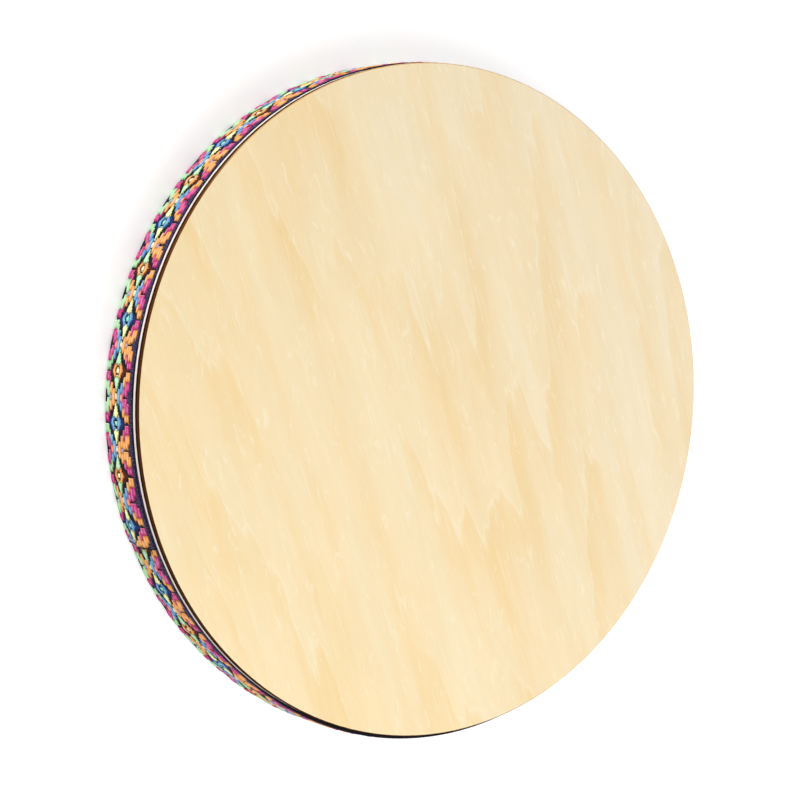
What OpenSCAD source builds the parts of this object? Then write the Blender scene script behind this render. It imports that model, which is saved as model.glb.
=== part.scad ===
// Stream drum: a shallow wooden box drum that is tilted and turned in the hands.
// Two plywood heads close a bent two-ply hoop, a woven ribbon band covers the rim, and loose steel
// beads inside run between rings of bamboo pins, with the sound of a stream.
// The drum lies on its back: the rear head faces -Z, the front head +Z, and the origin is the
// centre of the plane that it rests on.

/* [Heads] */
// Diameter of the front head
head_d = 300; // [240:1:400]
// Thickness of the plywood of both heads
head_t = 3; // [2:0.1:5]
// How far the front head stands out past the hoop
head_overhang = 0.1; // [0:0.1:1]
// Bevel sanded on the sharp rim of the front head
rim_bevel = 0.4; // [0.1:0.1:1]
// Radius of the sanded rear edge, which the ribbon is turned over
rear_edge_r = 1; // [0.5:0.1:1.8]

/* [Hoop] */
// Height of the hoop between the heads
hoop_h = 23; // [16:0.5:40]
// Thickness of each of the two bent plies
ply_t = 3; // [2:0.1:5]
// Length of the tapered glue joint where a ply's ends meet
scarf_len = 36; // [24:1:60]
// Width of the glue line in that joint
glue_line = 0.15; // [0.1:0.01:0.3]
// Place of the outer ply's joint round the rim, in degrees
scarf_angle = 24; // [0:1:360]

/* [Ribbon] */
// Thickness of the woven ribbon
ribbon_t = 1; // [0.6:0.1:1.5]
// Strip of bare hoop between the front head and the ribbon
bare_strip = 1.8; // [1:0.1:3]
// Width of the ribbon that is turned onto the rear head
margin_w = 2.4; // [1.5:0.1:6]
// Place where the upper end of the ribbon stops, in degrees
seam_angle = 204.5; // [180:0.5:230]
// Length over which the ribbon lies on itself
lap_len = 88; // [15:1:120]
// Thickness that the pressed lap adds
lap_t = 0.5; // [0.3:0.1:1]

/* [Pins] */
// Diameter of a bamboo pin
pin_d = 3; // [2:0.1:4]
// Depth of the blind socket that a pin is glued into
pin_socket = 1.5; // [1:0.1:1.8]
// Room for glue round a pin in its socket
pin_glue_gap = 0.05; // [0.03:0.01:0.1]
// Air between a pin's tip and the front head
pin_tip_gap = 0.8; // [0.4:0.1:2]
// Bevel at the tip of a pin
pin_bevel = 0.5; // [0.2:0.1:0.8]
// Pins in the innermost ring, and more in each ring outside it
pins_per_step = 6; // [4:1:8]

/* [Beads] */
// Diameter of a steel bead
bead_d = 4; // [3:0.1:6]
// Clearance under a bead
bead_gap = 0.3; // [0.3:0.05:0.6]
// Beads in the innermost lane
beads_first = 12; // [6:1:14]
// Beads more in each lane outside it
beads_step = 6; // [3:1:8]
// How far a bead may stray along its lane from its even place
bead_stray = 6; // [0:0.1:9]

/* [Hidden] */
$fn = 96;
pin_rings = 5;
// Width of the outermost lane, in lanes
rim_lane = 0.75;
ring_names = [for (k = [1:pin_rings]) str("pin_ring_", k)];
lane_names = [for (k = [1:pin_rings]) str("bead_lane_", k)];

// Radii, from the front head inwards
head_r = head_d / 2;
hoop_r = head_r - head_overhang;
ply_seam_r = hoop_r - ply_t;
chamber_r = ply_seam_r - ply_t;

// Heights, from the plane that the drum rests on: the turned ribbon lies under the rear head
rear_z = ribbon_t;
floor_z = rear_z + head_t;
ceiling_z = floor_z + hoop_h;

// The ribbon runs from below the bare strip down the hoop and round the rear edge
ribbon_top_z = ceiling_z - bare_strip;
bend_z = rear_z + rear_edge_r;
bend_r = hoop_r - rear_edge_r;
lap_deg = lap_len / (2 * PI * (hoop_r + ribbon_t)) * 360;

// Pins stand in rings, and the beads run in the lane outside each ring
lane_pitch = chamber_r / (pin_rings + rim_lane);
function ring_r(k) = k * lane_pitch;
function lane_end_r(k) = k < pin_rings ? ring_r(k + 1) - pin_d / 2 : chamber_r;
function lane_r(k) = (ring_r(k) + pin_d / 2 + lane_end_r(k)) / 2;
function pin_count(k) = pins_per_step * k;
function bead_count(k) = beads_first + beads_step * (k - 1);
// Every second ring is turned half a step, so that no straight way leads across the drum
function pin_angle(k, i) = (i + (k % 2) / 2) * 360 / pin_count(k);
function bead_pitch(k) = 2 * PI * lane_r(k) / bead_count(k);
// Neighbouring beads never stray into each other
function stray_len(k) = max(0, min(bead_stray, (bead_pitch(k) - 1.1 * bead_d) / 2));
pin_z = floor_z - pin_socket;
pin_len = pin_socket + hoop_h - pin_tip_gap;

// How far a cutter runs past what it cuts
past = 1;

veneer = "wheat";
bare_wood = "blanchedalmond";
ribbon_ground = "midnightblue";
bamboo = "tan";
bead_steel = "lightsteelblue";

module ring(outer_r, inner_r, h) {
    difference() {
        cylinder(r = outer_r, h = h);
        translate([0, 0, -past]) cylinder(r = inner_r, h = h + 2 * past);
    }
}

// One bent ply, with a slanting glue line where its tapered ends meet.
// The cut is part of a ring set off centre, so that it follows the bend from face to face.
module ply(outer_r, inner_r, angle) {
    mid_r = (outer_r + inner_r) / 2;
    off_centre = mid_r * (outer_r - inner_r) / scarf_len;
    cut_r = norm([mid_r, off_centre]);
    translate([0, 0, floor_z])
        difference() {
            ring(outer_r, inner_r, hoop_h);
            rotate([0, 0, angle])
                intersection() {
                    translate([0, off_centre, -past])
                        ring(cut_r + glue_line / 2, cut_r - glue_line / 2, hoop_h + 2 * past);
                    translate([0, -scarf_len, -2 * past])
                        cube([outer_r + scarf_len, 2 * scarf_len, hoop_h + 4 * past]);
                }
        }
}

// Outline, from the axis outwards, of the wooden rim with its rounded rear edge, grown by a thickness
module rim_outline(grow) {
    top = ceiling_z - rear_z;
    translate([bend_r, bend_z]) circle(r = rear_edge_r + grow);
    translate([0, rear_z - grow]) square([bend_r, top]);
    translate([0, bend_z]) square([hoop_r + grow, top]);
}

// Section of a layer on the rim, between two heights above the wood and from a radius and a height on
module rim_layer(inner, outer, from_r, from_z) {
    intersection() {
        difference() {
            rim_outline(outer);
            rim_outline(inner);
        }
        translate([from_r, from_z]) square([hoop_r + outer, ribbon_top_z - from_z]);
    }
}

module front_head() {
    bevel_z = head_t - rim_bevel;
    color(veneer)
        translate([0, 0, ceiling_z]) {
            cylinder(r = head_r, h = bevel_z);
            translate([0, 0, bevel_z]) cylinder(r1 = head_r, r2 = head_r - rim_bevel, h = rim_bevel);
        }
}

// The rear head's edge is rounded for the ribbon, and its inner face is drilled for the pins
module rear_head() {
    color(veneer)
        difference() {
            rotate_extrude()
                intersection() {
                    rim_outline(0);
                    square([hoop_r, floor_z]);
                }
            for (k = [1:pin_rings])
                pin_places(k) cylinder(d = pin_d + 2 * pin_glue_gap, h = pin_socket + past);
        }
}

module hoop_outer_ply() {
    color(bare_wood) ply(hoop_r, ply_seam_r, scarf_angle);
}

module hoop_inner_ply() {
    color(bare_wood) ply(ply_seam_r, chamber_r, scarf_angle + 180);
}

// The ribbon goes once round the rim, is turned under the rear head, and laps over its own beginning
module ribbon_band() {
    color(ribbon_ground) {
        rotate_extrude() rim_layer(0, ribbon_t, bend_r - margin_w, 0);
        rotate([0, 0, seam_angle - lap_deg])
            rotate_extrude(angle = lap_deg) rim_layer(ribbon_t / 2, ribbon_t + lap_t, bend_r, rear_z);
    }
}

module pin_places(k) {
    for (i = [0:pin_count(k) - 1])
        rotate([0, 0, pin_angle(k, i)]) translate([ring_r(k), 0, pin_z]) children();
}

module pin_ring(k) {
    color(bamboo)
        pin_places(k) {
            cylinder(d = pin_d, h = pin_len - pin_bevel);
            translate([0, 0, pin_len - pin_bevel])
                cylinder(d1 = pin_d, d2 = pin_d - 2 * pin_bevel, h = pin_bevel);
        }
}

// Loose beads lie scattered along their lane, as they came to rest
module bead_lane(k) {
    count = bead_count(k);
    stray = rands(-stray_len(k), stray_len(k), count, k);
    color(bead_steel)
        for (i = [0:count - 1])
            rotate([0, 0, (i + stray[i] / bead_pitch(k)) * 360 / count])
                translate([lane_r(k), 0, floor_z + bead_gap + bead_d / 2]) sphere(d = bead_d);
}

front_head();
rear_head();
hoop_outer_ply();
hoop_inner_ply();
ribbon_band();
for (k = [1:pin_rings]) {
    pin_ring(k);
    bead_lane(k);
}
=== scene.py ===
# %% [markdown]
# # Dressing a stream drum
# A stream drum is a shallow wooden box. Beads run among pins inside it and sound like running water.
# The construction already has every piece in its true place and size. This lesson gives the wood its
# grain and its burnt edge, weaves the ribbon that goes round the rim, and sets the drum under soft light.
# Sizes are in metres, in the construction's own frame: the drum lies on its back and +Z is its axis.

# %% Load the construction
import math

import bpy
import numpy as np
from mathutils import Matrix, Vector


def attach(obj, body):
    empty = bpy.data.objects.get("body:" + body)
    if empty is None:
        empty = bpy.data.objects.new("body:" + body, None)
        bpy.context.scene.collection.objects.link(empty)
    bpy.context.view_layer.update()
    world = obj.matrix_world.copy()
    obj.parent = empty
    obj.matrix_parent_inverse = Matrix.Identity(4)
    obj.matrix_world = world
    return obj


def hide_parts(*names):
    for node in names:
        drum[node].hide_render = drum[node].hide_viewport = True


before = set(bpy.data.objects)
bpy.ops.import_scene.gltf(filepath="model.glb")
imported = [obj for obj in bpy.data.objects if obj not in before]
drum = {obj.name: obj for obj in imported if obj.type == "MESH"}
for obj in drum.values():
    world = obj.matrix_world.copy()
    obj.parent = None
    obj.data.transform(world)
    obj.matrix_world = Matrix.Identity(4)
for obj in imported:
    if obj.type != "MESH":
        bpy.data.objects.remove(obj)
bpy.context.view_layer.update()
MM = 0.001
print("pieces of the construction:", ", ".join(sorted(drum)))

# %% [markdown]
# ## The camera
# The drum is seen from the front and from its left. Its near edge looks larger than its far edge, so the
# camera stands about a metre away, with a lens of about 100 mm. It is turned by given numbers and not by a
# tracking constraint, because the picture leans nearly two degrees to one side.

# %% Place the camera
eye = Vector((-0.5479, 0.0473, 0.8133))
aim = Vector((-0.0220, 0.0009, 0.0303))
lean = math.radians(1.76)

forward = (aim - eye).normalized()
level = forward.cross(Vector((0, 1, 0))).normalized()
right = Matrix.Rotation(-lean, 3, forward) @ level
up = right.cross(forward)
camera = bpy.data.objects.new("camera", bpy.data.cameras.new("camera"))
camera.data.sensor_width = 36
camera.data.lens = 96.54
camera.matrix_world = Matrix((right, up, -forward)).transposed().to_4x4()
camera.location = eye
bpy.context.scene.collection.objects.link(camera)
bpy.context.scene.camera = camera
bpy.context.scene.view_settings.view_transform = "Standard"
print("the camera looks at the drum from", round((aim - eye).length, 3), "m")

# %% [markdown]
# ## Writing materials as short lists
# A node tree is long to write by hand. The helper below adds one node, sets the sockets that are given a
# number or a colour, and links those that are given another node's output. It lets a recipe read from the
# top to the bottom, as the nodes do from left to right.


# %% A helper for node trees
class Recipe:
    """The nodes of one material or sky, and short ways to add them."""

    def __init__(self, owner, output="OutputMaterial"):
        owner.use_nodes = True
        self.owner = owner
        self.tree = owner.node_tree
        self.tree.nodes.clear()
        self.output = self.add(output)

    def add(self, kind, sockets=None, **settings):
        node = self.tree.nodes.new("ShaderNode" + kind)
        for key, value in settings.items():
            setattr(node, key, value)
        for key, value in (sockets or {}).items():
            if isinstance(value, bpy.types.NodeSocket):
                self.tree.links.new(value, node.inputs[key])
            else:
                node.inputs[key].default_value = value
        return node

    def math(self, operation, *values, clamp=False):
        node = self.add("Math", dict(enumerate(values)), operation=operation, use_clamp=clamp)
        return node.outputs[0]

    def noise(self, vector, detail=2, roughness=0.5, distortion=0.0):
        sockets = {"Vector": vector, "Scale": 1.0, "Detail": detail, "Roughness": roughness,
                   "Distortion": distortion}
        return self.add("TexNoise", sockets).outputs[0]

    def stretched(self, vector, size, turn=0.0, shift=(0, 0, 0)):
        """The place in a frame that is turned about Z and in which one unit has the given size."""
        sockets = {"Vector": vector, "Location": shift, "Rotation": (0, 0, turn), "Scale": size}
        return self.add("Mapping", sockets, vector_type="TEXTURE").outputs[0]

    def between(self, value, low, high, to_low=0.0, to_high=1.0):
        """A value carried from one range to another with soft ends."""
        sockets = {"Value": value, "From Min": low, "From Max": high, "To Min": to_low, "To Max": to_high}
        return self.add("MapRange", sockets, interpolation_type="SMOOTHSTEP").outputs[0]

    def mix(self, share, first, second, blend="MIX"):
        sockets = {0: share, 6: first, 7: second}
        return self.add("Mix", sockets, data_type="RGBA", blend_type=blend).outputs[2]

    def looked_at(self):
        """One where the eye looks, straight or by a mirror or through glass, and zero for other light."""
        path = self.add("LightPath").outputs
        straight_or_mirrored = self.math("ADD", path["Is Camera Ray"], path["Is Glossy Ray"])
        return self.math("ADD", straight_or_mirrored, path["Is Transmission Ray"], clamp=True)

    def show(self, shader):
        self.tree.links.new(shader, self.output.inputs["Surface"])
        return self.owner

    def surface(self, sockets):
        return self.show(self.add("BsdfPrincipled", sockets).outputs[0])


def new_material(name):
    """An empty material to write a recipe for."""
    return Recipe(bpy.data.materials.new(name))


print("a recipe can", ", ".join(way for way in vars(Recipe) if not way.startswith("_")))

# %% [markdown]
# ## Colours and paint
# Picture editors write a colour as three numbers from 0 to 255, and the renderer counts light itself. The
# first helper turns one into the other, so that the colours below can be read as they look. The second gives
# a finish to pieces of the construction and takes away what they had.

# %% Two more helpers
def colour(red, green, blue):
    """A colour as picture editors write it, from 0 to 255, as the renderer's linear light."""
    shares = [part / 255 for part in (red, green, blue)]
    return tuple(x / 12.92 if x <= 0.04045 else ((x + 0.055) / 1.055) ** 2.4 for x in shares) + (1.0,)


def paint(nodes, material):
    """Gives these pieces of the construction one material."""
    for name in nodes:
        drum[name].data.materials.clear()
        drum[name].data.materials.append(material)


print("linear light of a middle grey:", round(colour(128, 128, 128)[0], 3))

# %% [markdown]
# ## A white table and soft light
# The drum lies on a white table in a white room. The table keeps the drum's soft shadow and glows a little
# more far away, where the lamps hardly reach. Its underside lets the eye through, and under the drum it has a
# round window, a little smaller than the drum, so that the back of the drum can be looked at and is lit too.
#
# Two large lamps and a pale sky light the wood at a plain level, where a colour renders about as it is
# written. The key lamp hangs nearer to the bottom of the picture, so the face darkens a little towards its
# top. Two low strip lamps stand at the upper and lower left, where they hardly reach the face and make the
# ribbon bright. The last lamp shines up through the window.

# %% Lay the table
corner_count = 128
window_r = 148.5 * MM
table_r = 6
table_white = (0.70, 0.70, 0.70, 1)
near_glow, far_glow = 0.52, 0.80
turns = np.arange(corner_count) * 2 * math.pi / corner_count
circle = np.stack([np.cos(turns), np.sin(turns), 0 * turns], axis=1)
inner = np.arange(corner_count)
outer = inner + corner_count
sectors = np.stack([inner, outer, np.roll(outer, -1), np.roll(inner, -1)], axis=1)
table = bpy.data.objects.new("table", bpy.data.meshes.new("table"))
table_corners = np.concatenate([circle * window_r, circle * table_r])
table.data.from_pydata(table_corners.tolist(), [], sectors.tolist())
bpy.context.scene.collection.objects.link(table)

cloth = new_material("white_table")
here = cloth.add("NewGeometry").outputs
below = here["Backfacing"]
away = cloth.add("VectorMath", {0: here["Position"]}, operation="LENGTH").outputs["Value"]
white = cloth.add("BsdfDiffuse", {"Color": table_white}).outputs[0]
shine = cloth.math("MULTIPLY", cloth.looked_at(), cloth.between(away, 0.5, 2.0, near_glow, far_glow))
glow = cloth.add("Emission", {"Strength": shine}).outputs[0]
lit = cloth.add("AddShader", {0: white, 1: glow}).outputs[0]
clear = cloth.add("BsdfTransparent").outputs[0]
table.data.materials.append(cloth.show(cloth.add("MixShader", {0: below, 1: lit, 2: clear}).outputs[0]))
print("table laid with a window of", round(2 * window_r / MM), "mm")


# %% Hang the lamps
def softbox(name, place, width, height, power):
    """A flat lamp that faces the drum, with its power in watts."""
    lamp = bpy.data.objects.new(name, bpy.data.lights.new(name, "AREA"))
    lamp.data.shape = "RECTANGLE"
    lamp.data.size = width
    lamp.data.size_y = height
    lamp.data.energy = power
    lamp.location = place
    lamp.rotation_euler = (aim - Vector(place)).to_track_quat("-Z", "Y").to_euler()
    bpy.context.scene.collection.objects.link(lamp)


softbox("key", (-0.02, -0.85, 1.30), 1.1, 1.1, 14.5)
softbox("fill", (1.20, 0.50, 1.50), 1.6, 1.6, 9.5)
softbox("strip", (-1.03, 1.23, 0.11), 1.0, 0.2, 23)
softbox("low_strip", (-1.23, -1.03, 0.11), 1.0, 0.2, 6)
softbox("under", (0.40, -0.50, -1.10), 1.2, 1.2, 10)

sky = Recipe(bpy.data.worlds.new("sky"), "OutputWorld")
brightness = sky.between(sky.looked_at(), 0.0, 1.0, 0.336, 1.0)
sky_light = sky.add("Background", {"Color": (1, 1, 1, 1), "Strength": brightness})
bpy.context.scene.world = sky.show(sky_light.outputs[0])
print("five lamps and a sky")

# %% [markdown]
# ## Birch veneer
# The heads are cut from plywood whose outer ply is peeled off a log like paper off a roll. The knife runs
# nearly along the growth rings, so each ring meets the surface in a long tongue, and at both sides the rings
# close up into bands along the grain. The age of the wood is therefore a slope along the grain, less the
# square of the distance from the tongues' axis, and a noise that is long along the grain makes it uneven.
# Within a ring the early wood is pale, the late wood is honey-coloured, and a thin silky line parts it from
# the next ring, so the fraction of the age gives the figure. A picture of wood could do the same, but a rule
# has no edges and no repeats.

# %% The rings of the log
tongue_w = 75 * MM
ring_len = 110 * MM


def growth_rings(wood, along_grain, fibre):
    """How much late wood shows, and how much of the silky line where two rings meet."""
    uneven = wood.noise(along_grain(0.018, 0.16), 3, 0.5)
    patches = wood.noise(along_grain(0.046, 0.22), 1, 0.5)
    from_axis, along_axis, _ = wood.add("SeparateXYZ", {0: along_grain(tongue_w, ring_len)}).outputs
    age = wood.math("SUBTRACT", along_axis, wood.math("MULTIPLY", from_axis, from_axis))
    age = wood.math("MULTIPLY_ADD", uneven, 2.0, age)
    ring = wood.math("FRACT", wood.math("MULTIPLY_ADD", fibre, 0.05, age))

    in_patch = wood.between(patches, 0.36, 0.60)
    near_axis = wood.between(wood.math("ABSOLUTE", from_axis), 0.2, 0.9, 0.40, 0.30)
    late_wood = wood.math("MULTIPLY", wood.between(ring, 0.15, 0.90), wood.between(ring, 0.90, 1.0, 1.0, 0.0))
    late_wood = wood.math("MULTIPLY", late_wood, near_axis)
    late_wood = wood.math("MULTIPLY", late_wood, in_patch)
    ring_line = wood.math("MULTIPLY", wood.between(ring, 0.94, 1.0, 0.0, 0.28), in_patch)
    return late_wood, ring_line


print("growth rings", round(ring_len / MM), "mm long on the axis of the tongues")

# %% [markdown]
# ## The sanded face
# The veneer is sanded and sealed, so all of its figure is faint. Some patches are less rosy than others, and
# fine fibres, pale streaks, flecks and pores lie along the grain. Each of these is a noise with its own width
# and length, and they are laid over each other from the broadest to the finest. A painted sheen also makes
# the face cooler and less yellow towards the right.

# %% Mix the face
# Each pair holds a tone of the wood and its cooler tone under the painted sheen.
PALE = (colour(251, 230, 187), colour(247, 231, 199))
HONEY = (colour(247, 212, 146), colour(243, 213, 160))
COOL = (0.978, 0.990, 1.0, 1.0)
SILK = colour(255, 244, 219)
PORE = colour(214, 178, 128)


def sanded_face(wood, axes, along_grain, fibre, pores):
    """Colour of the face, from its broad figure to its fine marks."""
    late_wood, ring_line = growth_rings(wood, along_grain, fibre)
    clouds = wood.noise(along_grain(0.021, 0.30), 4, 0.55, 0.3)
    mottle = wood.noise(along_grain(0.0060, 0.034), 4, 0.65, 0.9)
    figure = wood.math("MULTIPLY_ADD", wood.between(clouds, 0.36, 0.68), 0.36, late_wood)
    figure = wood.math("MULTIPLY_ADD", wood.between(mottle, 0.34, 0.66), 0.17, figure)
    figure = wood.math("MULTIPLY_ADD", wood.between(fibre, 0.3, 0.7, -0.5, 0.5), 0.07, figure, clamp=True)
    # Painted sheen: a share that grows towards the right of the face, where the face turns cooler.
    painted_sheen_share = wood.between(wood.math("MULTIPLY_ADD", axes[1], 0.5, axes[0]), -0.16, 0.16)
    face = wood.mix(figure, wood.mix(painted_sheen_share, *PALE), wood.mix(painted_sheen_share, *HONEY))

    blush = wood.noise(along_grain(0.024, 0.060), 3, 0.6)
    streaks = wood.noise(along_grain(0.0016, 0.040), 2, 0.5, 0.4)
    flecks = wood.noise(along_grain(0.0028, 0.012), 2, 0.6, 1.2)
    face = wood.mix(wood.between(blush, 0.38, 0.62), face, COOL, "MULTIPLY")
    face = wood.mix(ring_line, face, SILK)
    face = wood.mix(wood.between(streaks, 0.62, 0.72, 0.0, 0.25), face, SILK)
    face = wood.mix(wood.between(flecks, 0.60, 0.70, 0.0, 0.36), face, SILK)
    return wood.mix(wood.between(pores, 0.68, 0.76, 0.0, 0.18), face, PORE)


print("palest wood, in linear light:", [round(part, 3) for part in PALE[0][:3]])

# %% [markdown]
# ## The burnt rim
# The heads were cut out by a laser, which chars the edge. The edge is browner towards the top of the face,
# and the bevel is dark on the lower left and pale on the upper right. A fine upright noise makes the char
# uneven, as soot is. Face, bevel and edge could have three materials, but the way the surface faces tells
# them apart, so one recipe serves the whole disc.

# %% Burn the rim
CHAR = colour(18, 8, 2)
SINGED = (colour(70, 39, 11), colour(98, 54, 17))
SCORCH = colour(204, 166, 112)


def burnt_rim(wood, place, axes, flatness, char_z, clean_z):
    """Colour of the charred edge, and of the bevel, which is only scorched pale on its upper right side."""
    soot = wood.noise(wood.stretched(place, (0.0006, 0.0006, 0.004)), 3, 0.6)
    clean = wood.math("MULTIPLY_ADD", soot, 0.5, wood.between(axes[2], char_z, clean_z))
    singed = wood.mix(wood.between(axes[1], 0.0, 0.09), *SINGED)
    edge = wood.mix(wood.between(clean, 0.45, 1.1), CHAR, singed)
    # The bevel is pale on the upper right and dark on the lower left.
    pale_bevel_side = wood.between(wood.math("MULTIPLY_ADD", axes[1], 0.7, axes[0]), -0.07, -0.01)
    bevel = wood.mix(pale_bevel_side, singed, SCORCH)
    return wood.mix(wood.between(flatness, 0.2, 0.6), edge, bevel)


def veneer(name, grain_angle, shift, char_z, clean_z):
    """Plywood with its grain at an angle in degrees, and an edge that is charred at one of two heights."""
    wood = new_material(name)
    place = wood.add("TexCoord").outputs["Object"]
    axes = wood.add("SeparateXYZ", {0: place}).outputs
    normal = wood.add("SeparateXYZ", {0: wood.add("NewGeometry").outputs["Normal"]}).outputs
    flatness = wood.math("ABSOLUTE", normal[2])
    on_face = wood.between(flatness, 0.80, 0.95)

    def along_grain(width, length):
        return wood.stretched(place, (width, length, 1), math.radians(grain_angle), shift)

    fibre = wood.noise(along_grain(0.0009, 0.030), 3, 0.6, 0.2)
    pores = wood.noise(along_grain(0.0004, 0.0045), 2, 0.5)
    face = sanded_face(wood, axes, along_grain, fibre, pores)
    rim = burnt_rim(wood, place, axes, flatness, char_z, clean_z)
    relief = wood.math("MULTIPLY_ADD", pores, -0.6, wood.math("MULTIPLY", fibre, 0.5))
    bump = wood.add("Bump", {"Height": relief, "Strength": 0.22, "Distance": 0.0002}).outputs[0]
    dull = wood.between(on_face, 0.0, 1.0, 0.8, 0.5)
    gloss = wood.math("ADD", wood.between(fibre, 0.2, 0.8, 0.0, 0.14), dull)
    return wood.surface({"Base Color": wood.mix(on_face, rim, face), "Roughness": gloss, "Normal": bump,
                         "Specular IOR Level": wood.between(on_face, 0.0, 1.0, 0.03, 0.3)})


paint(["front_head"], veneer("front_veneer", 21, (-0.022, 0.060, 0), 27 * MM, 30 * MM))
paint(["rear_head"], veneer("rear_veneer", 14, (0.030, 0.300, 0.2), 4 * MM, 1 * MM))
print("heads veneered")

# %% [markdown]
# ## Bare wood inside the rim
# The hoop is two long strips of pale birch, bent round and glued. Its grain runs round the rim, so the
# noise is short in height and long in the other directions. That needs no unrolling, and it has no seam.

# %% Mix the hoop's wood
def bent_birch(name):
    """Pale wood with its grain round the rim."""
    wood = new_material(name)
    place = wood.add("TexCoord").outputs["Object"]
    fibre = wood.noise(wood.stretched(place, (0.030, 0.030, 0.0005)), 4, 0.6)
    bands = wood.noise(wood.stretched(place, (0.080, 0.080, 0.0040)), 2, 0.5)
    figure = wood.math("MULTIPLY_ADD", wood.between(fibre, 0.3, 0.7), 0.5, wood.math("MULTIPLY", bands, 0.4))
    tone = wood.mix(figure, colour(234, 224, 217), colour(212, 194, 184))
    bump = wood.add("Bump", {"Height": fibre, "Strength": 0.2, "Distance": 0.0002}).outputs[0]
    gloss = wood.between(fibre, 0.2, 0.8, 0.55, 0.7)
    return wood.surface({"Base Color": tone, "Roughness": gloss, "Normal": bump, "Specular IOR Level": 0.3})


paint(["hoop_outer_ply", "hoop_inner_ply"], bent_birch("bent_birch"))
print("hoop painted")

# %% [markdown]
# ## Pins and beads
# Nobody sees them in a closed drum, but they are what makes the sound. Bamboo has straight fibres and
# darker dots where they are cut across, and the beads are polished steel with faint rubbing marks.

# %% Mix the bamboo and the steel
def bamboo(name):
    """Cane with fibres along the pins."""
    cane = new_material(name)
    place = cane.add("TexCoord").outputs["Object"]
    fibre = cane.noise(cane.stretched(place, (0.00025, 0.00025, 0.012)), 3, 0.6)
    tone = cane.mix(cane.between(fibre, 0.3, 0.7), colour(226, 196, 140), colour(188, 146, 88))
    bump = cane.add("Bump", {"Height": fibre, "Strength": 0.3, "Distance": 0.0001}).outputs[0]
    gloss = cane.between(fibre, 0.2, 0.8, 0.45, 0.6)
    return cane.surface({"Base Color": tone, "Roughness": gloss, "Normal": bump})


def polished_steel(name):
    """Bright steel with rubbed patches."""
    steel = new_material(name)
    place = steel.add("TexCoord").outputs["Object"]
    rubbed = steel.noise(steel.stretched(place, (0.0011, 0.0011, 0.0011)), 4, 0.65)
    tone = steel.mix(steel.between(rubbed, 0.3, 0.7), colour(176, 180, 186), colour(206, 208, 212))
    gloss = steel.between(rubbed, 0.25, 0.75, 0.10, 0.28)
    return steel.surface({"Base Color": tone, "Metallic": 1.0, "Roughness": gloss})


paint([name for name in drum if name.startswith("pin_ring")], bamboo("bamboo"))
paint([name for name in drum if name.startswith("bead_lane")], polished_steel("bead_steel"))
print("pins and beads painted")

# %% [markdown]
# ## The ribbon's way round the rim
# The ribbon is glued to the hoop just below a bare strip of wood. It runs down the rim, bends round the
# rounded rear edge and ends on the rear head. It starts under its own end: after one turn it climbs onto
# its beginning and lies there for nine centimetres. A point of the cloth is known by three numbers, how far
# along, how far across and how high above the wood, and two functions turn these into a place in space. A
# modifier could bend a flat ribbon too, but a formula keeps the lap and the bend exact.

# %% The rim and the ribbon's size
hoop_r = 149.9 * MM
edge_r = 1.0 * MM
rear_z = 1.0 * MM
ribbon_top_z = 25.2 * MM
ribbon_t = 1.0 * MM
margin_w = 2.4 * MM
run_down = ribbon_top_z - rear_z - edge_r
bend_len = (edge_r + ribbon_t / 2) * math.pi / 2
ribbon_w = run_down + bend_len + margin_w

length_r = hoop_r + 0.9 * MM
seam_angle = math.radians(204.5)
lap_len = 88 * MM
once_round = 2 * math.pi * length_r
ribbon_len = once_round + lap_len
start_angle = seam_angle - lap_len / length_r


def on_rim(across, height):
    """Radius and height over the table of a point of the cloth, from its front edge and from the wood."""
    turn = np.clip((across - run_down) / bend_len, 0, 1) * math.pi / 2
    beyond = np.maximum(across - run_down - bend_len, 0)
    radius = hoop_r - edge_r + (edge_r + height) * np.cos(turn) - beyond
    z = ribbon_top_z - np.minimum(across, run_down) - (edge_r + height) * np.sin(turn)
    return radius, z


print("ribbon of", round(ribbon_w / MM, 1), "by", round(ribbon_len / MM), "mm")

# %% [markdown]
# ## Laid by hand
# The ribbon wanders a little, and at one place it slips almost a millimetre off its line. On the last five
# centimetres it drifts to the rear, which leaves the front edge of the lower layer in sight, and its middle
# puffs out, for the glue holds only its edges. Its end was cut slightly askew. Where two layers lie on each
# other both are pressed. At the bottom of the picture the ribbon was not pulled tight, and its face stands
# out by nearly two millimetres more, so its front edge shows below the head. That edge is painted black as
# shade, here and at the lap.

# %% How the ribbon lies
climb_len = 5 * MM
lap_lift = 0.52 * MM
upper_pressed = 0.10
bend_pressed = 0.40
lower_pressed = 0.45
edge_lift = 0.55
edge_lift_w = 2 * MM
drift = 0.9 * MM
drift_from = ribbon_len - 53 * MM
drift_len = 31 * MM
puff = 1.2 * MM
cut_back = 1.2 * MM
cut_askew = 1.2 * MM
cut_bow = 0.4 * MM
cut_reach = 14 * MM
slip = 0.9 * MM
slip_at = 800 * MM
slip_len = 36 * MM
sag = 1.7 * MM
sag_from = math.radians(231)
sag_reach = math.radians(90)
loose_h = 0.3 * MM

# Size, length and start of the waves in which the ribbon wanders
WAVES = ((0.12 * MM, 47 * MM, 0), (0.08 * MM, 19.3 * MM, 1))


def soft_step(x):
    """A step from 0 to 1 with soft ends, while x goes from 0 to 1."""
    x = np.clip(x, 0, 1)
    return x * x * (3 - 2 * x)


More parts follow.
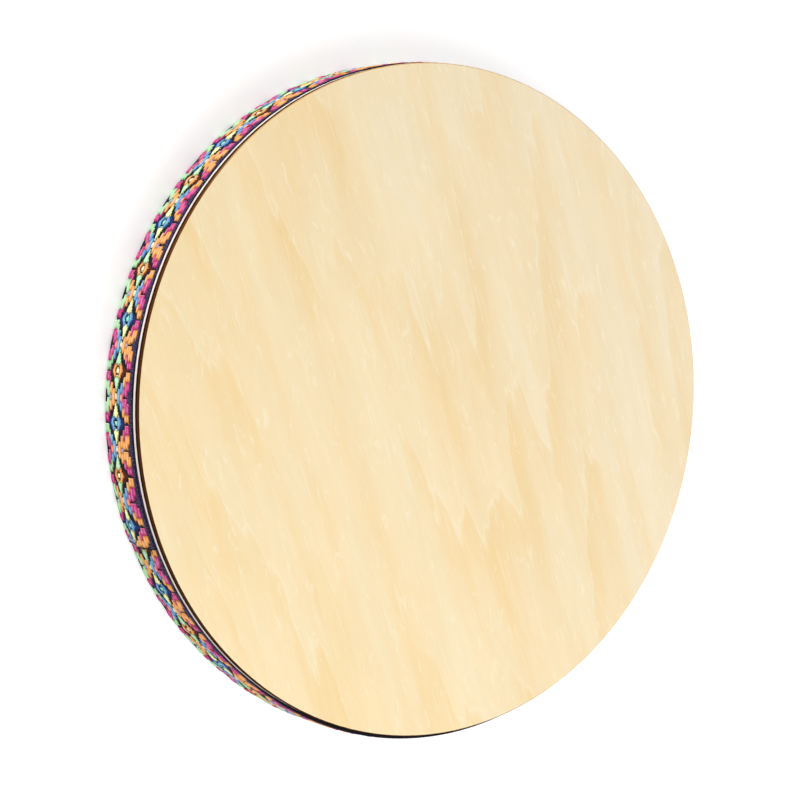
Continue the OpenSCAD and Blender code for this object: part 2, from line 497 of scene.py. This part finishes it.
def lie(along, across, height):
    """Places in space of points of the cloth, which wanders, laps, drifts, puffs out and is cut askew."""
    wander = sum(size * np.sin(along / length + start) for size, length, start in WAVES)
    wander = wander + slip * np.exp(-(((along - slip_at) / slip_len) ** 2))
    loose = soft_step((along - drift_from) / drift_len)
    shifted = across + wander + drift * loose
    turned = np.clip((shifted - run_down) / bend_len, 0, 1)

    share = across / ribbon_w
    to_end = soft_step((along - ribbon_len + cut_reach) / cut_reach)
    cut = cut_bow * np.sin(math.pi * share) - cut_back - cut_askew * share
    angle = start_angle + (along + cut * to_end) / length_r

    over = soft_step((along - once_round + climb_len) / climb_len)
    under = 1 - soft_step((along - lap_len) / climb_len)
    pressed = 1 - np.maximum((upper_pressed + bend_pressed * turned) * over, lower_pressed * under)
    thin_edge = edge_lift + (1 - edge_lift) * soft_step(shifted / edge_lift_w)
    lifted = over * lap_lift * np.where(turned > 0, 1 - 0.05 * turned, thin_edge)
    lifted = lifted + puff * loose * np.sin(math.pi * np.clip(shifted / run_down, 0, 1)) ** 2
    radius, z = on_rim(shifted, lifted + pressed * height)

    loose_face = np.cos(turned * math.pi / 2) * np.minimum(height / loose_h, 1)
    radius = radius + sag * loose_face * np.sin(math.pi * np.clip((angle - sag_from) / sag_reach, 0, 1))
    return np.stack([radius * np.cos(angle), radius * np.sin(angle), z], axis=-1)


print("the ribbon starts at", np.round(lie(0.0, 0.0, 0.0) / MM, 1), "mm")

# %% [markdown]
# ## The woven pattern
# The band is a common one: a row of eyes in two colours, and between them fans of stepped chevrons that
# grow from the edges. It could be drawn as a picture, but a rule is shorter and stays sharp. The cloth is
# divided into narrow columns across and picks along, and the rule says which yarn lies on top in each
# cell. It goes by the distance to the nearest eye, the distance to the middle of the fan, and the distance
# from the middle of the ribbon, all in millimetres.

# %% Colours of the yarns
YARNS = {
    "navy": (34, 25, 54), "black": (10, 7, 16), "royal": (26, 40, 100), "maroon": (78, 26, 24),
    "pink": (204, 66, 134), "orange": (243, 166, 84), "blue": (100, 158, 208), "mint": (182, 228, 176),
    "lemon": (241, 244, 168), "cream": (250, 236, 190), "lavender": (186, 168, 206), "aqua": (140, 226, 208),
    "coral": (250, 154, 130), "grey": (150, 150, 164),
}
yarn_names = list(YARNS)
yarn_number = {name: number for number, name in enumerate(yarn_names)}
GROUND = [yarn_number[name] for name in ("navy", "black", "royal", "maroon", "grey")]
print(len(YARNS), "colours of yarn")

# %% [markdown]
# ## The fans
# A fan is an inner chevron within an outer one, with a dot in its point, a dark slit along its middle and a
# notch at the edge. It steps in rows of several columns, which are tighter towards the rear edge. The four
# kinds differ in their colours and in the length of the dot, so a small table says these. The layers are
# given from the lowest to the highest, as a weaver thinks of them.

# %% The yarns of the fans
front_rows = np.array([2, 7, 11, 15, 19, 22])
rear_rows = np.array([2, 7, 11, 13, 16, 22])
edge_row = len(front_rows) - 1
slit_w = 0.45
notch_w = 2.5

# A fan's colours: the inner chevron, the outer one near the middle and at its ends, the dot and its length
FANS = {
    ("first", "front"): ("pink", "blue", "orange", "coral", 1.7),
    ("second", "front"): ("orange", "orange", "pink", "lavender", 1.0),
    ("first", "rear"): ("mint", "orange", "pink", "lavender", 1.1),
    ("second", "rear"): ("pink", "blue", "mint", "coral", 1.8),
}


def row_of(front, steps):
    """Row of the fans at so many columns from the middle of the ribbon, or -1 before the first one."""
    front_row = np.searchsorted(front_rows, steps, side="right") - 1
    rear_row = np.searchsorted(rear_rows, steps, side="right") - 1
    return np.where(front, front_row, rear_row)


def fan_layers(front, first_fan, row, fan, off):
    """Where the yarns of the fans lie, from the lowest layer to the highest."""
    outer_end = np.minimum(3.4 + 2.45 * row, 10.35)
    inner_end = np.select([row == 2, row >= 3], [4.3, 6.7], 0)
    in_fan = (row >= 0) & (row < edge_row) & (fan < outer_end)
    for (which, half), (inner, arc, ends, dot, dot_end) in FANS.items():
        here = in_fan & (first_fan == (which == "first")) & (front == (half == "front"))
        yield here & (row <= 1), arc
        yield here & (row >= 2), ends
        yield here & (fan < inner_end), inner
        yield here & (row == 1) & (fan < dot_end), dot
    yield (fan < slit_w) & (off > 6.3) & (row <= 3), "black"
    notch = (row == edge_row - 1) & (fan < notch_w)
    yield notch & front, "navy"
    yield notch & ~front, "black"


print(len(FANS), "kinds of fan")

# %% [markdown]
# ## The eyes
# An eye is pointed at both ends, and its outline is the wider of two pairs of slanting lines. Within it lie
# a broad iris, a round pupil and a glint that is off the middle by a quarter of a millimetre. Every other
# eye has the same shape in other colours.

# %% The yarns of the eyes
eye_half_h = 4.6


def inside_eye(gap, off):
    """Whether a cell lies within the outline of an eye."""
    return off < np.maximum(eye_half_h - 0.65 * gap, 3.7 - 0.39 * gap)


def eye_layers(blue_eye, from_eye, off, to_front):
    """Where the yarns of the eyes lie, from the lowest layer to the highest."""
    gap = np.abs(from_eye)
    in_eye = inside_eye(gap, off)
    in_iris = in_eye & (gap < 2.1 + 0.5 * off)
    in_pupil = (gap / 2.1) ** 2 + (off / 1.9) ** 2 < 1
    in_glint = (from_eye / 1.15) ** 2 + ((to_front - 0.25) / 1.4) ** 2 < 1
    eye_kinds = ((blue_eye, "lemon", "blue", "aqua"), (~blue_eye, "mint", "orange", "cream"))
    for eyes, tip, iris, glint in eye_kinds:
        yield eyes & in_eye, tip
        yield eyes & in_iris, iris
        yield eyes & in_pupil, "black"
        yield eyes & in_glint, glint


print("an eye is up to", 2 * eye_half_h, "mm high")

# %% [markdown]
# ## Weaving
# Under the fans lies a black ground, with a coloured shade round each eye. Over them lie the eyes, a small
# cream bead between two eyes, and the navy edges. The ribbon was pulled harder in two places, and there the
# pattern is about one and a half millimetres out of step. Floats don't end on a ruled line, so every column
# is shifted a little for some picks at a time. At the cut end a few pale picks have come loose, and the last
# picks are black: partly a melted edge, and partly painted shade where the cut end lies over the lower layer.

# %% The rule of the pattern
column_count = 54
column_w = ribbon_w / column_count
middle = 26
repeat = math.radians(16.578) * length_r
first_blue_eye = (math.radians(212.1) - start_angle) * length_r
bead_w = 1.25


def pattern(along, column):
    """Number of the yarn on top and whether it is in an eye, for arrays of places and columns."""
    front = column < middle
    steps = np.where(front, middle - 1 - column, column - middle)
    row = row_of(front, steps)
    off = (steps + 0.5) * column_w / MM
    to_front = np.where(front, off, -off)
    nearest = np.round((along - first_blue_eye) / (repeat / 2))
    from_eye = (along - first_blue_eye - nearest * repeat / 2) / MM
    gap = np.abs(from_eye)
    fan = repeat / 4 / MM - gap
    blue_eye = nearest % 2 == 0
    first_fan = (from_eye < 0) == blue_eye

    shade = (gap < 5.5 - 0.68 * off) & (off > 3.5)
    layers = [(shade & blue_eye, "royal"), (shade & ~blue_eye, "maroon")]
    layers += fan_layers(front, first_fan, row, fan, off)
    layers += eye_layers(blue_eye, from_eye, off, to_front)
    layers += [((fan < bead_w) & (row < 0), "cream"), (row >= edge_row, "navy")]
    on_top = np.full(np.broadcast(along, column).shape, yarn_number["black"])
    for where, name in layers:
        on_top[np.broadcast_to(where, on_top.shape)] = yarn_number[name]
    return on_top, np.broadcast_to(inside_eye(gap, off), on_top.shape)


def pulled(along):
    """The place of the pattern at a place along the ribbon, with the two places where it was pulled."""
    at_start = -1.4 * MM * np.exp(-(((along - 160 * MM) / (28 * MM)) ** 2))
    near_end = 1.5 * MM * np.exp(-(((along - 790 * MM) / (75 * MM)) ** 2))
    return along + at_start + near_end


print("one repeat is", round(repeat / MM, 1), "mm long")

# %% Weave the cells
pick = repeat / 68
pick_count = round(ribbon_len / pick)
pick_places = (np.arange(pick_count) + 0.5) * pick
columns = np.arange(column_count)
shifted_picks = 20
shift_count = pick_count // shifted_picks + 1
loose_ends = np.random.default_rng(5).uniform(-0.2, 0.2, (shift_count, column_count)) * MM
shaken = pick_places[:, None] + loose_ends[np.arange(pick_count) // shifted_picks]
on_top, in_eye = pattern(pulled(shaken), columns[None, :])

rear_edge = middle + rear_rows[-1]
on_top[-5:-2, middle + rear_rows[1]:rear_edge] = yarn_number["lavender"]
# The last picks are black: a melted edge, and painted shade where the cut end lies over the lower layer.
on_top[-2, middle:] = yarn_number["black"]
on_top[-1, :middle] = yarn_number["black"]
on_top[-1, middle:rear_edge] = yarn_number["grey"]
print("pattern of", pick_count, "picks by", column_count, "columns")

# %% [markdown]
# ## Raising the yarns
# Where a bright yarn lies on top it floats over the ground for a few millimetres and dives at both ends,
# so a float is a small pillow. The dark ground between the floats is a tight plain weave. The height grows
# with the distance from the nearest dive, which gives round ends without modelling each one. The same
# distance says how much light reaches the yarn.

# %% Floats along the ribbon
float_h = 0.43 * MM
weave_h = 0.10 * MM
rise_len = 0.45 * MM
dim_len = 0.6 * MM


def from_dive(colours):
    """Distance along one column from the nearest dive, at every boundary between two picks."""
    changes = np.flatnonzero(np.diff(colours)) + 1
    dives = np.concatenate(([0], changes, [len(colours)]))
    places = np.arange(len(colours) + 1)
    before = dives[np.searchsorted(dives, places, side="right") - 1]
    after = dives[np.minimum(np.searchsorted(dives, places, side="left"), len(dives) - 1)]
    return np.minimum(places - before, after - places) * pick


at_points = np.concatenate((on_top[:1], on_top))
eye_points = np.concatenate((in_eye[:1], in_eye))
dark = np.isin(at_points, GROUND)
reach = np.stack([from_dive(on_top[:, column]) for column in columns], axis=1)
weave = 0.5 + 0.5 * (-1.0) ** (np.arange(pick_count + 1)[:, None] + columns[None, :] // 2)
crest = np.where(dark, weave_h * weave, float_h * (1 - np.exp(-reach / rise_len)))
# Share of light at each point, which paints shade at the ends of the floats.
light = np.where(dark, 1.0, 1 - 0.9 * np.exp(-reach / dim_len))
print("longest float:", round(2 * reach[~dark].max() / MM, 1), "mm")

# %% [markdown]
# ## Rows across the ribbon
# Across the ribbon each row of a fan is round too, with a groove on both sides, while an eye is smooth. The
# heights of two columns meet at a point between them. Less light reaches a groove and a border between two
# colours, and these shares of light are kept with the points, to paint shade into the yarns' colour.

# %% Height of the cloth
ground_h = 0.52 * MM
groove_h = 0.18 * MM
edge_h = 0.38 * MM


def bulge_of(steps, rows):
    """How far points stand out within their row: 0 between two rows and 1 in the middle of one."""
    bounds = np.concatenate(([-rows[0]], rows))
    row = np.clip(np.searchsorted(bounds, steps, side="right") - 1, 0, len(bounds) - 2)
    share = (steps - bounds[row]) / (bounds[row + 1] - bounds[row])
    return np.clip(1 - (2 * share - 1) ** 2, 0, 1)


steps = np.arange(1, column_count) - middle
row_bulge = np.where(steps < 0, bulge_of(-steps, front_rows), bulge_of(steps, rear_rows))
smooth_here = (eye_points[:, :-1] & eye_points[:, 1:]) | (dark[:, :-1] & dark[:, 1:])
bulge = np.where(smooth_here, 1.0, row_bulge)
shared_crest = (crest[:, :-1] + crest[:, 1:]) / 2
cloth_height = np.full((pick_count + 1, column_count + 1), edge_h)
cloth_height[:, 1:-1] = ground_h + shared_crest * (0.45 + 0.55 * bulge) - groove_h * (bulge == 0)

# Borders between two colours get less light, for painted shade along them.
border = np.where(at_points[:, :-1] != at_points[:, 1:], 0.6, 1.0)
cloth_light = np.ones_like(cloth_height)
cloth_light[:, 1:-1] = np.minimum(light[:, :-1], light[:, 1:]) * (0.4 + 0.6 * bulge) * border
print("cloth up to", round(cloth_height.max() / MM, 2), "mm thick")

# %% [markdown]
# ## Building the ribbon
# The face of the cloth is a grid of quads, one for each cell of the pattern. Its back is plain and needs
# only a few rows. Strips of quads close the long edges and a polygon closes each end, so that the ribbon is
# one sealed solid. It could be a flat ribbon with a picture of the weave, but then no yarn would stand out.

# %% The ribbon's mesh
back_h = 0.02 * MM
along = np.arange(pick_count + 1) * pick
across = np.arange(column_count + 1) * column_w
back_across = np.array([0, run_down, run_down + bend_len / 2, run_down + bend_len, ribbon_w])
face_points = lie(along[:, None], across[None, :], cloth_height)
back_points = lie(along[:, None], back_across[None, :], back_h)
face_rows, back_rows = len(across), len(back_across)
face_at = np.arange(face_points.shape[0] * face_rows).reshape(-1, face_rows)
back_at = face_at.size + np.arange(back_points.shape[0] * back_rows).reshape(-1, back_rows)


def quads(at):
    """Four corners of each quad of a grid of points, with the face outwards on the rim."""
    return np.stack([at[:-1, :-1], at[:-1, 1:], at[1:, 1:], at[1:, :-1]], axis=-1).reshape(-1, 4)


front_wall = np.stack([back_at[:, 0], face_at[:, 0]], axis=1)
rear_wall = np.stack([face_at[:, -1], back_at[:, -1]], axis=1)
corner_lists = [quads(face_at), quads(back_at)[:, ::-1], quads(front_wall), quads(rear_wall)]
ends = [list(face_at[0, ::-1]) + list(back_at[0]), list(face_at[-1]) + list(back_at[-1, ::-1])]
corners = np.concatenate(corner_lists)

ribbon_mesh = bpy.data.meshes.new("ribbon")
points = np.concatenate([face_points.reshape(-1, 3), back_points.reshape(-1, 3)])
ribbon_mesh.from_pydata(points.tolist(), [], corners.tolist() + [[int(p) for p in end] for end in ends])
ribbon = bpy.data.objects.new("ribbon", ribbon_mesh)
bpy.context.scene.collection.objects.link(ribbon)
ribbon_mesh.polygons.foreach_set("use_smooth", np.ones(len(ribbon_mesh.polygons), dtype=bool))
lit_points = np.concatenate([cloth_light.ravel(), np.ones(back_at.size)])
ribbon_mesh.attributes.new("light", "FLOAT", "POINT").data.foreach_set("value", lit_points.astype(np.float32))
print("ribbon of", len(corners), "quads")

# %% [markdown]
# ## Two texture maps
# One texture map holds the length and width in metres, for the yarns' fibres. The other folds the long
# ribbon into six strips of a square for baking, and the back and the edges share a thin strip above them.

# %% Map the ribbon
flat_along = np.concatenate([np.repeat(along, face_rows), np.repeat(along, back_rows)])
flat_across = np.concatenate([np.tile(across, len(along)), np.tile(back_across, len(along))])
loop_points = np.empty(len(ribbon_mesh.loops), dtype=int)
ribbon_mesh.loops.foreach_get("vertex_index", loop_points)
flat = np.stack([flat_along[loop_points], flat_across[loop_points]], axis=1)

folds = 6
side_margin = 0.01
end_margin = 0.02
fold_margin = 0.03
back_strip = 0.984
back_strip_w = 0.012


def inset(share, margin):
    """A share from 0 to 1, drawn in from both ends by a margin."""
    return margin + (1 - 2 * margin) * share


picks_per_fold = math.ceil(pick_count / folds)
face_quads = len(corner_lists[0])
quad_fold = np.repeat(np.arange(pick_count) // picks_per_fold, face_rows - 1)
loop_fold = np.repeat(quad_fold, 4)
on_face = slice(0, face_quads * 4)
behind = slice(face_quads * 4, None)
width_share = flat[:, 1] / ribbon_w
baked = np.empty_like(flat)
baked[on_face, 0] = inset(flat[on_face, 0] / (picks_per_fold * pick) - loop_fold, side_margin)
baked[on_face, 1] = inset((loop_fold + inset(width_share[on_face], fold_margin)) / folds, end_margin)
baked[behind, 0] = inset(flat[behind, 0] / ribbon_len, side_margin)
baked[behind, 1] = back_strip + back_strip_w * width_share[behind]
for name, places in (("weave", flat), ("OFBake", baked)):
    layer = ribbon_mesh.uv_layers.new(name=name)
    layer.uv.foreach_set("vector", places.astype(np.float32).ravel())
print("texture maps:", ", ".join(layer.name for layer in ribbon_mesh.uv_layers))

# %% [markdown]
# ## The yarns' finish
# The yarn is spun cotton: soft, nearly without gloss, with a twist that shows as slanting fibres. A wave over
# the flat length and width gives the twist, and slow noise gives each float a slightly different shade.
# Little light reaches the grooves and the ends of the floats, so painted shade makes the colour deeper there
# and in the dips of the twist, and a painted highlight makes it paler on their backs. The navy edge is
# speckled where the paler core of the yarn shows through.

# %% Spin the yarns
def spun(name, shade):
    """Cotton of one shade, with its twist, a painted highlight on the backs of the floats, and painted shade
    between them and in the twist.
    """
    yarn = new_material(name + "_yarn")
    flat_place = yarn.add("UVMap", uv_map="weave").outputs[0]
    twist = yarn.add("TexWave", {"Vector": yarn.stretched(flat_place, (0.00035, 0.002, 1), 0.6),
                                 "Scale": 1.0, "Distortion": 2.0, "Detail": 2.0}).outputs[1]
    uneven = yarn.noise(yarn.stretched(flat_place, (0.004, column_w, 1)), 2, 0.5)
    light = yarn.add("Attribute", attribute_name="light").outputs["Fac"]
    base = colour(*shade)
    # Colours of the painted shade and of the painted highlight.
    deeper = tuple(part ** 1.15 * 0.3 for part in base[:3]) + (1.0,)
    paler = tuple(part + 0.36 * (1 - part) for part in base[:3]) + (1.0,)
    tone = base
    if yarn_number[name] not in GROUND:
        # Painted highlight on the backs of the floats, uneven from float to float.
        painted_highlight = yarn.math("MULTIPLY", yarn.between(light, 0.5, 1.0), yarn.between(uneven, 0.36, 0.68))
        tone = yarn.mix(painted_highlight, base, paler)
    # Painted shade in the dips of the twist, then in the grooves, at the ends of the floats and at colour
    # borders.
    tone = yarn.mix(yarn.between(twist, 0.0, 0.5, 0.22, 0.0), tone, deeper)
    tone = yarn.mix(yarn.between(light, 0.0, 0.8, 0.85, 0.0), tone, deeper)
    if name == "navy":
        dots = yarn.noise(yarn.stretched(flat_place, (0.0005, 0.0005, 1)), 1, 0.5)
        tone = yarn.mix(yarn.between(dots, 0.54, 0.66, 0.0, 0.8), tone, colour(116, 108, 140))
    bump = yarn.add("Bump", {"Height": twist, "Strength": 0.3, "Distance": 0.00012}).outputs[0]
    gloss = yarn.between(uneven, 0.2, 0.8, 0.76, 0.92)
    return yarn.surface({"Base Color": tone, "Roughness": gloss, "Normal": bump, "Specular IOR Level": 0.15})


for name, shade in YARNS.items():
    ribbon_mesh.materials.append(spun(name, shade))
slots = np.full(len(ribbon_mesh.polygons), yarn_number["navy"])
slots[:face_quads] = on_top.ravel()
# The front edge of the cloth is painted black instead of navy. This is painted shade, where the edge shows
# below the head and at the lap.
front_edge = face_quads + len(corner_lists[1])
slots[front_edge:front_edge + len(corner_lists[2])] = yarn_number["black"]
ribbon_mesh.polygons.foreach_set("material_index", slots.astype(np.int32))
ribbon_mesh.update()
print("yarns spun:", ", ".join(yarn_names))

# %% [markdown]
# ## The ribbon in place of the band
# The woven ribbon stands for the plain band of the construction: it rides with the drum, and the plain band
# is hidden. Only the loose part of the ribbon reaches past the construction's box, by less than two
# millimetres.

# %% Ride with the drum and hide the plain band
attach(ribbon, "drum")
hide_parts("ribbon_band")
